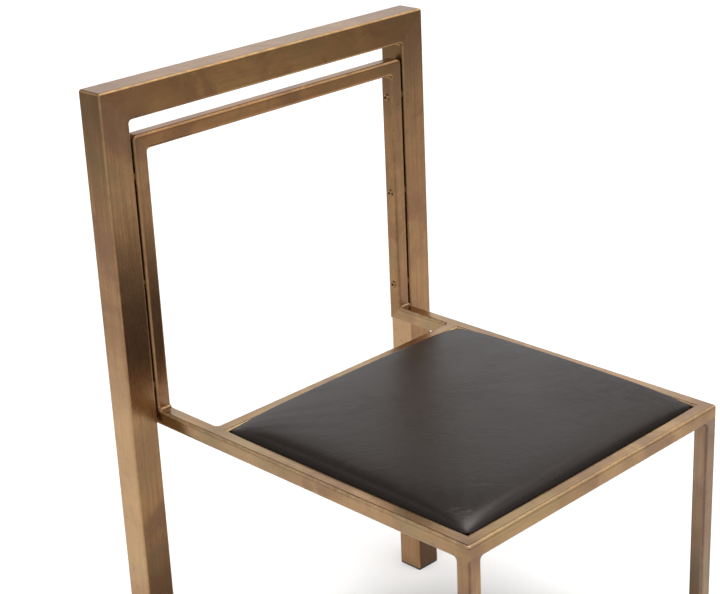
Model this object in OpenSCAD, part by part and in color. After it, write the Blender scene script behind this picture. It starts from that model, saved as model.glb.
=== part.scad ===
// Metal dining chair with a drop-in leather seat.
// A light inner frame of thin square tube carries the seat and is screwed, on spacers,
// into a heavy back frame of thick square tube whose posts are also the rear legs.
// Millimetres. X runs across, the seat faces -Y, Z is up. Left and right are seen from the front.
// The origin is on the floor, in the middle of the chair's width and depth.

/* [Overall] */
// Width over the two rear posts
chair_w = 540; // [460:5:620]
// Depth from the front rail to the back of the posts
chair_d = 555; // [480:5:620]
// Height of the back frame over the floor
chair_h = 850; // [760:5:960]
// Height of the seat rails over the floor
seat_h = 435; // [390:5:480]

/* [Back frame] */
// Side of the square tube
post_size = 40; // [34:1:50]
// Wall of the tube
post_wall = 2; // [1.5:0.25:3]
// Outside radius along the edges of the tube
post_round = 3; // [1:0.25:4]

/* [Inner frame] */
// Side of the square tube
tube_size = 20; // [18:1:25]
// Wall of the tube
tube_wall = 1.5; // [1:0.25:2.5]
// Outside radius along the edges of the tube
tube_round = 4; // [1:0.1:5]
// Radius to which the two top corners are ground
corner_grind = 7.5; // [5:0.5:9]
// Radius of the weld fillets in the inside corners
weld_r = 4; // [2:0.5:6]

/* [Layout] */
// Gap between a post and the upright beside it, which is also the thickness of a spacer
side_gap = 3; // [2:0.5:8]
// Height of the hand slot between the two top rails
hand_slot = 20; // [12:1:60]
// Clear gap between the uprights and the rear seat rail
rear_gap = 88; // [60:1:120]

/* [Frame screws] */
// Screws in each upright
screws_per_side = 3; // [2:1:4]
// Height of the lowest screw over the seat rail
screw_first = 34; // [25:1:50]
// Depth of the highest screw below the top of the inner frame
screw_last = 51; // [35:1:70]
// Thread diameter
screw_d = 6; // [5:0.5:6]
// Length under the head
screw_len = 35; // [30:1:38]
// Head diameter
head_d = 10.5; // [9:0.5:13]
// Head height
head_h = 3.3; // [2.5:0.1:4]
// Width across flats of the hexagon socket
socket_w = 4; // [3:0.5:5]
// Depth of the hexagon socket
socket_depth = 2; // [1:0.1:2.2]
// Outside diameter of a spacer
spacer_d = 16; // [15:0.5:18]
// Outside diameter of the rivet nut's barrel
nut_d = 9; // [8.5:0.5:10]
// Length of the rivet nut inside the post
nut_len = 14; // [10:1:20]
// Diameter of the rivet nut's flange and of its crimped collar
nut_flange_d = 12; // [11:0.5:13]
// Thickness of the rivet nut's flange
nut_flange_t = 1; // [0.8:0.1:1.5]
// Added to the thread diameter where a screw passes through a tube, a tab or a spacer
hole_clear = 0.5; // [0.3:0.1:1]
// Added to a diameter where two round pieces fit closely
fit_clear = 0.1; // [0.05:0.05:0.2]

/* [Feet] */
// Thickness of the glide under a leg
glide_t = 3; // [2:0.5:8]
// Bevel round the underside of the glide
glide_bevel = 0.8; // [0.3:0.1:1.5]
// Depth of the plug inside the leg
plug_depth = 15; // [12:1:30]
// Lamellae on a plug
plug_ribs = 3; // [2:1:4]
// Thickness of one lamella
plug_rib_t = 1.2; // [0.8:0.1:2]
// How far a lamella stands out from the plug's core
plug_rib_reach = 2.5; // [1.5:0.1:4]

/* [Seat] */
// Thickness of the seat board
board_t = 12; // [9:1:15]
// Thickness of the leather
leather_t = 1.2; // [0.8:0.1:2]
// Gap between the seat's side and the rails, at the corners
pad_gap = 1.5; // [1:0.5:4]
// Radius of the seat's corners in plan
pad_corner = 9; // [8:1:30]
// How far each side draws in at its middle
pad_draw = 1; // [0:0.25:4]
// How far the leather's side rises over the rails
pad_edge = 2; // [1:0.5:8]
// Height of the crown over that side
pad_crown = 20; // [10:1:40]
// Width of the leather that is turned in under the board
wrap_w = 25; // [15:1:40]
// Thickness of the dust cover
liner_t = 0.8; // [0.5:0.1:1.5]
// Distance of the dust cover's edge from the rails
liner_inset = 12; // [8:1:16]

/* [Seat fixing] */
// Depth of the corner tabs' top below the top of the rails
tab_drop = 14; // [13:0.5:15]
// Thickness of a corner tab
tab_t = 3; // [2:0.5:3]
// Length of a corner tab along each rail
tab_leg = 48; // [40:1:60]
// Width of a corner tab's ends
tab_nose = 6; // [4:1:12]
// Distance of a seat screw from each rail
tab_hole = 18; // [14:1:20]
// Length of a seat screw under its head
seat_screw_len = 14; // [10:1:16]
// Diameter of the T-nut's barrel
tnut_d = 8; // [7.5:0.5:9]
// Length of the T-nut's barrel
tnut_len = 9; // [6:1:9]
// Diameter of the T-nut's flange
tnut_flange_d = 18; // [15:1:22]
// Thickness of the T-nut's flange
tnut_flange_t = 1.2; // [0.8:0.1:2]

/* [Hidden] */
$fn = 48;

// Faces of the back frame
back_y = chair_d / 2;
post_x = chair_w / 2;
post_front_y = back_y - post_size;
// Outer faces of the inner frame, whose front is flush with the front of the posts
frame_x = post_x - post_size - side_gap;
frame_top = chair_h - post_size - hand_slot;
frame_back_y = post_front_y + tube_size;
front_y = -chair_d / 2;
rail_bottom = seat_h - tube_size;
rear_rail_y = post_front_y - rear_gap;
// The screws run through the middle of the uprights
screw_y = frame_back_y - tube_size / 2;
// The opening that the seat drops into
open_x = frame_x - tube_size;
open_front = front_y + tube_size;
open_back = rear_rail_y - tube_size;
open_mid_y = (open_front + open_back) / 2;
// Fillets and coped ends stop this far short of the line where their surfaces become tangent
feather = 0.5;
fillet_step = 0.15;
// A ground bend keeps the round edges of the tube, so its radius is larger than theirs
grind_r = max(corner_grind, tube_round + feather);
// Grinding goes this far under the faces of the tube
grind_step = 0.03;
// A cut goes this far past the surface that it leaves through
past = 1;
// The seat stands on the corner tabs
tab_top = seat_h - tab_drop;
board_bottom = tab_top + leather_t;
board_top = board_bottom + board_t;
pad_x = open_x - pad_gap;
pad_y = (open_back - open_front) / 2 - pad_gap;
pad_rim = seat_h + pad_edge;
// Clearance between the leather, the foam and the board
pad_clear = 0.3;
board_x = pad_x - leather_t - pad_draw - pad_clear;
board_y = pad_y - leather_t - pad_draw - pad_clear;
board_corner = pad_corner - leather_t;
// The rings of the crown, as shares of the seat's outline from its rim to its middle
crown_rings = [1, 0.99, 0.96, 0.9, 0.8, 0.65, 0.45, 0.2];
crown_power = 4;
liner_clear = 4;

// Heights of the frame screws, spread evenly from the lowest to the highest
function screw_heights() =
  let (low = seat_h + screw_first, high = frame_top - screw_last)
    [for (i = [0:screws_per_side - 1]) low + i * (high - low) / (screws_per_side - 1)];

// Rounded square in the XY plane
module rounded_square(size, r) {
  square([size, size - 2 * r], center = true);
  square([size - 2 * r, size], center = true);
  for (x = [-1, 1], y = [-1, 1])
    translate([x * (size / 2 - r), y * (size / 2 - r)])
      circle(r);
}

// Square tube that stands on the XY plane
module square_tube(length, size, wall, r) {
  linear_extrude(length)
    difference() {
      rounded_square(size, r);
      rounded_square(size - 2 * wall, max(r - wall, 0.3));
    }
}

module post_tube(length) {
  square_tube(length, post_size, post_wall, post_round);
}

module thin_tube(length) {
  square_tube(length, tube_size, tube_wall, tube_round);
}

// Solid bar with the outline of the thin tube
module thin_bar(length) {
  linear_extrude(length)
    rounded_square(tube_size, tube_round);
}

// The inside of the thin tube
module thin_bore(length) {
  translate([0, 0, -past])
    linear_extrude(length + 2 * past)
      rounded_square(tube_size - 2 * tube_wall, max(tube_round - tube_wall, 0.3));
}

// Everything on the +X side of the YZ plane, as far as reach
module half_space(reach) {
  translate([0, -reach, -reach])
    cube([2 * reach, 2 * reach, 2 * reach]);
}

// What a corner of the frame loses when it is ground to a bend in which the edges of the tube stay
// round. The corner is at the origin, its edge runs along Z, and the metal lies on the -X and -Y sides.
module ground_bend(r, size, edge_r) {
  bend = r - grind_step;
  translate([-r, -r, 0])
    difference() {
      translate([0, 0, -size / 2 - past])
        cube([r + past, r + past, size + 2 * past]);
      rotate_extrude()
        intersection() {
          translate([0, -size / 2])
            square([bend, size]);
          translate([r - size / 2, 0])
            rounded_square(size - 2 * grind_step, edge_r);
        }
    }
}

// What a corner loses when it is ground to the radius of the tube, with a ball at the top of its edge.
// The top of the corner is at the origin, and the metal lies on the -X, -Y and -Z sides.
module ground_ball(size, edge_r) {
  ball = edge_r - grind_step;
  translate([-edge_r, -edge_r, 0])
    difference() {
      translate([0, 0, -size - past])
        cube([edge_r + past, edge_r + past, size + 2 * past]);
      translate([0, 0, -edge_r])
        rotate_extrude() {
          translate([0, -size - past])
            square([ball, size + past]);
          intersection() {
            square(ball);
            circle(ball);
          }
        }
    }
}

// Weld metal inside a corner, which keeps the wall whole where the outside is ground away. It stands
// in the same place as the cut.
module corner_fill(r, size, wall) {
  translate([-r, -r, -size / 2])
    difference() {
      cube([r, r, size]);
      translate([0, 0, -past])
        cylinder(r = r - wall, h = size + 2 * past);
    }
}

// Weld in the corner between two tubes of the same size, ground flush with their outer faces: a tight
// bend of that tube. It goes half through the wall of its own tube, which lies on the -Y side of the
// corner, and is still to be coped to the other tube, which lies on the -X side.
module weld_bend(r, size, wall, edge_r) {
  reach = edge_r - feather;
  difference() {
    intersection() {
      translate([-reach, -reach, -size / 2 - past])
        cube([r + reach, r + reach, size + 2 * past]);
      translate([r, r, 0])
        rotate_extrude()
          translate([r - fillet_step + size / 2, 0])
            rounded_square(size, edge_r);
    }
    translate([-reach - past, -size / 2, 0])
      rotate([0, 90, 0])
        linear_extrude(r + reach + 2 * past)
          rounded_square(size - wall, max(edge_r - wall / 2, 0.3));
  }
}

// The same weld, coped to the other tube
module weld_fillet(r, size, wall, edge_r) {
  difference() {
    weld_bend(r, size, wall, edge_r);
    translate([-size / 2, r + past, 0])
      rotate([90, 0, 0])
        linear_extrude(r + edge_r + 2 * past)
          rounded_square(size, edge_r);
  }
}

// Both sides of the chair
module at_side(side) {
  if (side < 0)
    mirror([1, 0, 0])
      children();
  else
    children();
}

// The two top corners of the back frame are ground to about the radius of the tube
module ground_post_corners() {
  for (side = [-1, 1])
    at_side(side)
      translate([post_x, back_y - post_size / 2, chair_h])
        rotate([90, 0, 0])
          ground_bend(post_round + feather, post_size, post_round);
}

// Upper rail of the back frame, mitred on to the posts, with the welds in its two inside corners
module back_top_rail() {
  color([0.55, 0.43, 0.27]) {
    difference() {
      translate([-post_x, back_y - post_size / 2, chair_h - post_size / 2])
        rotate([0, 90, 0])
          post_tube(chair_w);
      for (side = [-1, 1])
        at_side(side)
          translate([post_x, back_y - post_size / 2, chair_h])
            rotate([0, 45, 0])
              half_space(2 * post_size);
      ground_post_corners();
    }
    for (side = [-1, 1])
      at_side(side)
        translate([post_x - post_size, back_y - post_size / 2, chair_h - post_size])
          rotate([90, 180, 0])
            weld_fillet(weld_r, post_size, post_wall, post_round);
  }
}

// Rear post and leg in one, drilled for the rivet nuts
module rear_leg(side) {
  color([0.52, 0.4, 0.25])
    at_side(side)
      difference() {
        translate([post_x - post_size / 2, back_y - post_size / 2, glide_t])
          post_tube(chair_h - glide_t);
        translate([post_x, back_y - post_size / 2, chair_h])
          rotate([0, 225, 0])
            half_space(2 * post_size);
        for (z = screw_heights())
          translate([post_x - post_size - past, screw_y, z])
            rotate([0, 90, 0])
              cylinder(d = nut_d + fit_clear, h = post_wall + 2 * past);
        ground_post_corners();
      }
}

// Puts its children at the two top corners of the inner frame
module at_top_corners() {
  for (side = [-1, 1])
    at_side(side)
      translate([frame_x, screw_y, frame_top])
        rotate([90, 0, 0])
          children();
}

// Upper rail of the inner frame, mitred on to the uprights, with its two top corners ground round
module inner_top_rail() {
  color([0.6, 0.47, 0.3]) {
    difference() {
      translate([-frame_x, screw_y, frame_top - tube_size / 2])
        rotate([0, 90, 0])
          thin_bar(2 * frame_x);
      difference() {
        translate([-frame_x, screw_y, frame_top - tube_size / 2])
          rotate([0, 90, 0])
            thin_bore(2 * frame_x);
        at_top_corners()
          corner_fill(grind_r, tube_size, tube_wall);
      }
      for (side = [-1, 1])
        at_side(side)
          translate([frame_x, screw_y, frame_top])
            rotate([0, 45, 0])
              half_space(2 * tube_size);
      at_top_corners()
        ground_bend(grind_r, tube_size, tube_round);
    }
    for (side = [-1, 1])
      at_side(side)
        translate([open_x, screw_y, frame_top - tube_size])
          rotate([90, 180, 0])
            weld_fillet(weld_r, tube_size, tube_wall, tube_round);
  }
}

// Upright, mitred at the top on to the upper rail and at the bottom on to the side rail
module inner_upright(side) {
  length = frame_top - rail_bottom;
  color([0.6, 0.47, 0.3])
    at_side(side)
      difference() {
        translate([frame_x - tube_size / 2, screw_y, rail_bottom])
          thin_bar(length);
        difference() {
          translate([frame_x - tube_size / 2, screw_y, rail_bottom])
            thin_bore(length);
          at_top_corners()
            corner_fill(grind_r, tube_size, tube_wall);
        }
        translate([frame_x, screw_y, frame_top])
          rotate([0, 225, 0])
            half_space(2 * tube_size);
        translate([frame_x - tube_size / 2, frame_back_y, rail_bottom])
          rotate([0, 0, 90])
            rotate([0, 135, 0])
              half_space(2 * tube_size);
        for (z = screw_heights())
          translate([open_x - past, screw_y, z])
            rotate([0, 90, 0])
              cylinder(d = screw_d + hole_clear, h = tube_size + 2 * past);
        at_top_corners()
          ground_bend(grind_r, tube_size, tube_round);
      }
}

// Puts its children at the top of the seat frame's front corner on the +X side
module at_front_corner() {
  translate([frame_x, front_y, seat_h])
    rotate([0, 0, -90])
      children();
}

// Weld metal inside that corner
module front_corner_fill() {
  at_front_corner()
    translate([0, 0, -tube_size / 2])
      corner_fill(tube_round, tube_size, tube_wall);
}

// Side rail of the seat, mitred at both ends, with the weld in front of the upright
module seat_side_rail(side) {
  length = frame_back_y - front_y;
  color([0.66, 0.54, 0.36])
    at_side(side) {
      difference() {
        side_rail_blank(1);
        difference() {
          translate([frame_x - tube_size / 2, front_y, seat_h - tube_size / 2])
            rotate([-90, 0, 0])
              thin_bore(length);
          front_corner_fill();
        }
        translate([frame_x - tube_size / 2, frame_back_y, rail_bottom])
          rotate([0, 0, 90])
            rotate([0, -45, 0])
              half_space(2 * tube_size);
        beyond_side_rail();
        at_front_corner()
          ground_ball(tube_size, tube_round);
      }
      translate([frame_x - tube_size / 2, post_front_y, seat_h])
        rotate([0, -90, 0])
          rotate([0, 0, -90])
            weld_fillet(weld_r, tube_size, tube_wall, tube_round);
    }
}

// Front rail of the seat, mitred on to the side rails
module seat_front_rail() {
  color([0.66, 0.54, 0.36])
    difference() {
      front_rail_blank();
      difference() {
        translate([-frame_x, front_y + tube_size / 2, seat_h - tube_size / 2])
          rotate([0, 90, 0])
            thin_bore(2 * frame_x);
        for (side = [-1, 1])
          at_side(side)
            front_corner_fill();
      }
      for (side = [-1, 1])
        at_side(side) {
          beyond_front_rail();
          at_front_corner()
            ground_ball(tube_size, tube_round);
        }
    }
}

// Everything past the side rail's mitre at the front, and past the front rail's, on the +X side
module beyond_side_rail() {
  translate([frame_x, front_y, seat_h - tube_size / 2])
    rotate([0, 0, 225])
      half_space(2 * tube_size);
}

module beyond_front_rail() {
  translate([frame_x, front_y, seat_h - tube_size / 2])
    rotate([0, 0, 45])
      half_space(2 * tube_size);
}

// Full section of the side rail, which the ends of the pieces welded on to it are coped to
module side_rail_blank(side) {
  at_side(side)
    translate([frame_x - tube_size / 2, front_y, seat_h - tube_size / 2])
      rotate([-90, 0, 0])
        thin_bar(frame_back_y - front_y);
}

// Full section of the front rail
module front_rail_blank() {
  translate([-frame_x, front_y + tube_size / 2, seat_h - tube_size / 2])
    rotate([0, 90, 0])
      thin_bar(2 * frame_x);
}

// Rear rail of the seat, coped on to the side rails, with the two welds behind it
module seat_rear_rail() {
  reach = open_x + tube_round - feather;
  color([0.66, 0.54, 0.36])
    difference() {
      union() {
        translate([-reach, rear_rail_y - tube_size / 2, seat_h - tube_size / 2])
          rotate([0, 90, 0])
            thin_tube(2 * reach);
        for (side = [-1, 1])
          at_side(side)
            translate([open_x, rear_rail_y, seat_h - tube_size / 2])
              rotate([0, 180, 0])
                weld_bend(weld_r, tube_size, tube_wall, tube_round);
      }
      side_rail_blank(-1);
      side_rail_blank(1);
    }
}

// Front leg with its two welds, coped to the two rails that meet on top of it
module front_leg(side) {
  leg_x = frame_x - tube_size / 2;
  leg_y = front_y + tube_size / 2;
  color([0.58, 0.45, 0.3])
    at_side(side)
      difference() {
        union() {
          translate([leg_x, leg_y, glide_t])
            thin_tube(rail_bottom + tube_round - feather - glide_t);
          translate([open_x, leg_y, rail_bottom])
            rotate([-90, 90, 0])
              weld_bend(weld_r, tube_size, tube_wall, tube_round);
          translate([leg_x, open_front, rail_bottom])
            rotate([0, 90, 0])
              weld_bend(weld_r, tube_size, tube_wall, tube_round);
        }
        difference() {
          side_rail_blank(1);
          beyond_side_rail();
        }
        difference() {
          front_rail_blank();
          beyond_front_rail();
        }
      }
}

// Button-head screw with a hexagon socket. Its shank runs up from the XY plane, its head hangs below.
module button_screw(length) {
  dome_r = (head_h * head_h + head_d * head_d / 4) / (2 * head_h);
  cylinder(d = screw_d, h = length);
  difference() {
    intersection() {
      translate([0, 0, dome_r - head_h])
        sphere(dome_r);
      translate([0, 0, -head_h])
        cylinder(d = head_d, h = head_h);
    }
    translate([0, 0, -head_h - past])
      cylinder(d = socket_w / cos(30), h = socket_depth + past, $fn = 6);
  }
}

// The screws of one upright, put in from the middle of the chair
module frame_screws(side) {
  color([0.62, 0.5, 0.34])
    at_side(side)
      for (z = screw_heights())
        translate([open_x, screw_y, z])
          rotate([0, 90, 0])
            button_screw(screw_len);
}

// The spacers between an upright and its post, counterbored over the flange of the rivet nut
module frame_spacers(side) {
  color([0.5, 0.4, 0.26])
    at_side(side)
      for (z = screw_heights())
        translate([frame_x, screw_y, z])
          rotate([0, 90, 0])
            difference() {
              cylinder(d = spacer_d, h = side_gap);
              translate([0, 0, -past])
                cylinder(d = screw_d + hole_clear, h = side_gap + 2 * past);
              translate([0, 0, side_gap - nut_flange_t - fit_clear])
                cylinder(d = nut_flange_d + hole_clear, h = nut_flange_t + fit_clear + past);
            }
}

// The rivet nuts in a post: a flange outside, a crimped collar behind the wall and the threaded barrel
module rivet_nuts(side) {
  color([0.72, 0.72, 0.7])
    at_side(side)
      for (z = screw_heights())
        translate([post_x - post_size, screw_y, z])
          rotate([0, 90, 0])
            difference() {
              union() {
                translate([0, 0, -nut_flange_t])
                  cylinder(d = nut_flange_d, h = nut_flange_t);
                cylinder(d = nut_d, h = nut_len);
                translate([0, 0, post_wall])
                  cylinder(d = nut_flange_d, h = (nut_len - post_wall) / 4);
              }
              translate([0, 0, -nut_flange_t - past])
                cylinder(d = screw_d + fit_clear, h = nut_len + nut_flange_t + 2 * past);
            }
}

// Plastic glide with a ribbed plug for the open end of a leg
module foot(size, wall, r) {
  bore = size - 2 * wall;
  core = bore - 2 * plug_rib_reach;
  color([0.08, 0.08, 0.08]) {
    difference() {
      linear_extrude(glide_t)
        rounded_square(size, r);
      for (turn = [0:90:270])
        rotate([0, 0, turn])
          translate([size / 2, 0, 0])
            rotate([0, 45, 0])
              cube([glide_bevel * sqrt(2), size + 2 * past, glide_bevel * sqrt(2)], center = true);
    }
    translate([0, 0, glide_t])
      linear_extrude(plug_depth)
        rounded_square(core, r / 2);
    for (i = [1:plug_ribs])
      translate([0, 0, glide_t + i * plug_depth / (plug_ribs + 1)])
        linear_extrude(plug_rib_t)
          rounded_square(bore - fit_clear, max(r - wall, 0.3));
  }
}

module rear_foot(side) {
  at_side(side)
    translate([post_x - post_size / 2, back_y - post_size / 2, 0])
      foot(post_size, post_wall, post_round);
}

module front_foot(side) {
  at_side(side)
    translate([frame_x - tube_size / 2, front_y + tube_size / 2, 0])
      foot(tube_size, tube_wall, tube_round);
}

// Puts its children at each given corner of the opening, with the rails along +X and +Y
module at_corner(side, rear) {
  at_side(side)
    translate([open_x, rear ? open_back : open_front, tab_top])
      rotate([0, 0, rear ? 180 : 90])
        children();
}

// Steel tab welded into a corner of the seat frame
module corner_tab(side, rear) {
  color([0.45, 0.36, 0.24])
    at_corner(side, rear)
      translate([0, 0, -tab_t])
        linear_extrude(tab_t)
          difference() {
            polygon([[0, 0], [tab_leg, 0], [tab_leg, tab_nose], [tab_nose, tab_leg], [0, tab_leg]]);
            translate([tab_hole, tab_hole])
              circle(d = screw_d + hole_clear);
          }
}

// The four places where the seat is screwed on
module at_seat_screws() {
  for (side = [-1, 1], rear = [false, true])
    at_corner(side, rear)
      translate([tab_hole, tab_hole, 0])
        children();
}

module seat_screws() {
  color([0.7, 0.7, 0.68])
    at_seat_screws()
      translate([0, 0, -tab_t])
        button_screw(seat_screw_len);
}

// T-nuts let into the top of the board
module t_nuts() {
  barrel = min(tnut_len, board_t - past);
  color([0.72, 0.72, 0.7])
    at_seat_screws()
      translate([0, 0, board_top - tab_top])
        difference() {
          union() {
            translate([0, 0, -tnut_flange_t])
              cylinder(d = tnut_flange_d, h = tnut_flange_t);
            translate([0, 0, -barrel])
              cylinder(d = tnut_d, h = barrel);
          }
          translate([0, 0, -board_t])
            cylinder(d = screw_d + fit_clear, h = board_t + past);
        }
}

// Plan of the seat board
module board_outline() {
  square([2 * board_x, 2 * (board_y - board_corner)], center = true);
  square([2 * (board_x - board_corner), 2 * board_y], center = true);
  for (x = [-1, 1], y = [-1, 1])
    translate([x * (board_x - board_corner), y * (board_y - board_corner)])
      circle(board_corner);
}

// Plywood board, drilled and sunk for the T-nuts
module seat_board() {
  color([0.76, 0.6, 0.4])
    difference() {
      translate([0, open_mid_y, board_bottom])
        linear_extrude(board_t)
          board_outline();
      at_seat_screws()
        translate([0, 0, board_bottom - tab_top - past])
          cylinder(d = tnut_d + fit_clear, h = board_t + 2 * past);
      at_seat_screws()
        translate([0, 0, board_top - tab_top - tnut_flange_t])
          cylinder(d = tnut_flange_d + fit_clear, h = tnut_flange_t + past);
    }
}

// One quarter of a rounded rectangle with half sides a and b, from its +X side to its +Y side
function quarter(a, b, r) = [
  for (f = [0, 0.35, 0.7]) [a, f * (b - r)],
  for (t = [0:15:90]) [a - r + r * cos(t), b - r + r * sin(t)],
  for (f = [0.7, 0.35]) [f * (a - r), b]
];

// The whole rounded rectangle, one quarter turn after another
function outline(a, b, r) = [
  for (k = [0:3])
    for (p = k % 2 == 0 ? quarter(a, b, r) : quarter(b, a, r))
      [p[0] * cos(90 * k) - p[1] * sin(90 * k), p[0] * sin(90 * k) + p[1] * cos(90 * k)]
];

// Sides bow in towards their middles, and corners stay where they are
function drawn_in(p, a, b) = [
  p[0] * (1 - pad_draw / a * (1 - pow(p[1] / b, 2))),
  p[1] * (1 - pad_draw / b * (1 - pow(p[0] / a, 2)))
];

// Height of the crown over the rim, steep at the rim and flat in the middle
function crown(p, a, b) =
  pad_crown * sqrt(max(0, (1 - pow(abs(p[0] / a), crown_power)) * (1 - pow(abs(p[1] / b), crown_power))));

// A level ring of the seat's outline, shrunk all round by inset
function level_ring(z, inset) =
  let (a = pad_x - inset, b = pad_y - inset, r = max(pad_corner - inset, 2))
    [for (p = outline(a, b, r)) concat(drawn_in(p, a, b) + [0, open_mid_y], z)];

// A ring of the crown at a share of the outline, for a surface that lies inset below the leather's
function crown_ring(share, inset) =
  let (a = pad_x - inset, b = pad_y - inset, r = pad_corner - inset)
    [for (p = outline(a, b, r))
      concat(drawn_in(p * share, a, b) + [0, open_mid_y], pad_rim - inset + crown(p * share, a, b))];

// The rings of the crown, from its middle out to its rim
function crown_outwards(inset) = [
  for (i = [len(crown_rings) - 1:-1:0]) crown_ring(crown_rings[i], inset)
];

// The same rings, from the rim in to the middle
function crown_inwards(inset) = [for (share = crown_rings) crown_ring(share, inset)];

function crown_top(inset) = [0, open_mid_y, pad_rim - inset + pad_crown];

// The two triangles between points i and j of one ring and k and l of the next. They meet along
// the shorter diagonal, so surfaces that lie one inside the other have the same facets.
function quad(points, i, j, k, l) =
  norm(points[i] - points[l]) < norm(points[j] - points[k])
    ? [[i, j, l], [i, l, k]]
    : [[i, j, k], [j, l, k]];

// Closed solid through a list of rings, from a first point to a last one
module ring_solid(first, rings, last) {
  n = len(rings[0]);
  count = len(rings);
  points = concat([first], [for (ring = rings) for (p = ring) p], [last]);
  end = len(points) - 1;
  start_fan = [for (i = [0:n - 1]) [0, 1 + (i + 1) % n, 1 + i]];
  bands = [
    for (j = [0:count - 2])
      for (i = [0:n - 1])
        let (a = 1 + j * n + i, b = 1 + j * n + (i + 1) % n)
          for (face = quad(points, a, b, a + n, b + n)) face
  ];
  end_fan = [for (i = [0:n - 1]) [end, end - n + i, end - n + (i + 1) % n]];
  polyhedron(points, concat(start_fan, bands, end_fan));
}

// Foam under the leather, flat on the board and crowned on top
module seat_foam() {
  inset = leather_t + pad_clear;
  color([0.92, 0.88, 0.72])
    ring_solid(
      crown_top(inset),
      concat(crown_outwards(inset), [level_ring(board_top, inset)]),
      [0, open_mid_y, board_top]
    );
}

// Leather over the foam, down the sides and turned in under the board, pierced for the seat screws
module seat_cover() {
  turned_in = [
    level_ring(tab_top, 0),
    level_ring(tab_top, wrap_w),
    level_ring(tab_top + leather_t, wrap_w),
    level_ring(tab_top + leather_t, leather_t)
  ];
  color([0.2, 0.18, 0.17])
    difference() {
      ring_solid(
        crown_top(0),
        concat(crown_outwards(0), turned_in, crown_inwards(leather_t)),
        crown_top(leather_t)
      );
      at_seat_screws()
        translate([0, 0, -past])
          cylinder(d = screw_d + hole_clear, h = leather_t + 2 * past);
    }
}

// Black cloth that closes the underside, cut away round the corner tabs
module dust_cover() {
  x = open_x - liner_inset;
  y = (open_back - open_front) / 2 - liner_inset;
  cut = tab_leg + tab_nose + liner_clear - 2 * liner_inset;
  color([0.12, 0.12, 0.12])
    translate([0, open_mid_y, tab_top - liner_t])
      linear_extrude(liner_t)
        polygon([
          [x, y - cut], [x - cut, y], [cut - x, y], [-x, y - cut],
          [-x, cut - y], [cut - x, -y], [x - cut, -y], [x, cut - y]
        ]);
}

back_top_rail();
rear_leg(-1);  // rear_leg_left
rear_leg(1);  // rear_leg_right
inner_top_rail();
inner_upright(-1);  // inner_upright_left
inner_upright(1);  // inner_upright_right
seat_side_rail(-1);  // seat_side_rail_left
seat_side_rail(1);  // seat_side_rail_right
seat_front_rail();
seat_rear_rail();
front_leg(-1);  // front_leg_left
front_leg(1);  // front_leg_right
frame_screws(-1);  // frame_screws_left
frame_screws(1);  // frame_screws_right
frame_spacers(-1);  // frame_spacers_left
frame_spacers(1);  // frame_spacers_right
rivet_nuts(-1);  // rivet_nuts_left
rivet_nuts(1);  // rivet_nuts_right
rear_foot(-1);  // rear_foot_left
rear_foot(1);  // rear_foot_right
front_foot(-1);  // front_foot_left
front_foot(1);  // front_foot_right
corner_tab(-1, false);  // corner_tab_front_left
corner_tab(1, false);  // corner_tab_front_right
corner_tab(-1, true);  // corner_tab_rear_left
corner_tab(1, true);  // corner_tab_rear_right
seat_board();
seat_foam();
seat_cover();
dust_cover();
t_nuts();
seat_screws();
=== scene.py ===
import math
import random

import bpy
from mathutils import Matrix, Vector, noise


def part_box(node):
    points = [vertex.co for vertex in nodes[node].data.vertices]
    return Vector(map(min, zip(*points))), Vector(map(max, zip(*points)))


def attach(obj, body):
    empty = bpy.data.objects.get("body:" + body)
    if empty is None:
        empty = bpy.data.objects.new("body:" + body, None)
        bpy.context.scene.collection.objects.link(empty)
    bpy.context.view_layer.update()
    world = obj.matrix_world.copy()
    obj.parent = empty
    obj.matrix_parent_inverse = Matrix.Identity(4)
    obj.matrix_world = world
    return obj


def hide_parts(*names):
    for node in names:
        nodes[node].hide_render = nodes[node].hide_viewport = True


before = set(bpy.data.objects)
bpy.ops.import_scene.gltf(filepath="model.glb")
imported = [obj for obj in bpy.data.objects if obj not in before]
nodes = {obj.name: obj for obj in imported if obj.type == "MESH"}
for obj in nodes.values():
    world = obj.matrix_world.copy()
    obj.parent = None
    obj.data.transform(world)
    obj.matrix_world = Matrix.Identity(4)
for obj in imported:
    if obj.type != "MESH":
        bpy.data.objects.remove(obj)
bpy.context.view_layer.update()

scene = bpy.context.scene
mm = 0.001
print("frame loaded:", len(nodes), "CAD nodes")


cameraSet = {
    "place": (-1.401211, -1.342490, 1.354515),
    "turn": 44.106,      # degrees from +Y towards +X
    "down": 21.764,
    "roll": -2.609,
    "lens": 86.496,
    "sensor": 36.0,
    "farEnd": 50.0,
}


def addCamera(s):
    turn, down, roll = (math.radians(s[k]) for k in ("turn", "down", "roll"))
    ahead = Vector((
        math.sin(turn) * math.cos(down), math.cos(turn) * math.cos(down), -math.sin(down)))
    right = ahead.cross(Vector((0, 0, 1))).normalized()
    up = right.cross(ahead)
    tilted = right * math.cos(roll) + up * math.sin(roll)
    top = up * math.cos(roll) - right * math.sin(roll)
    data = bpy.data.cameras.new("photoCamera")
    data.lens = s["lens"]
    data.sensor_width = s["sensor"]
    data.clip_end = s["farEnd"]
    camera = bpy.data.objects.new("photoCamera", data)
    turned = Matrix((tilted, top, -ahead)).transposed().to_4x4()
    camera.matrix_world = Matrix.Translation(s["place"]) @ turned
    scene.collection.objects.link(camera)
    scene.camera = camera


addCamera(cameraSet)
scene.view_settings.view_transform = "Standard"
print("camera placed")


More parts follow.
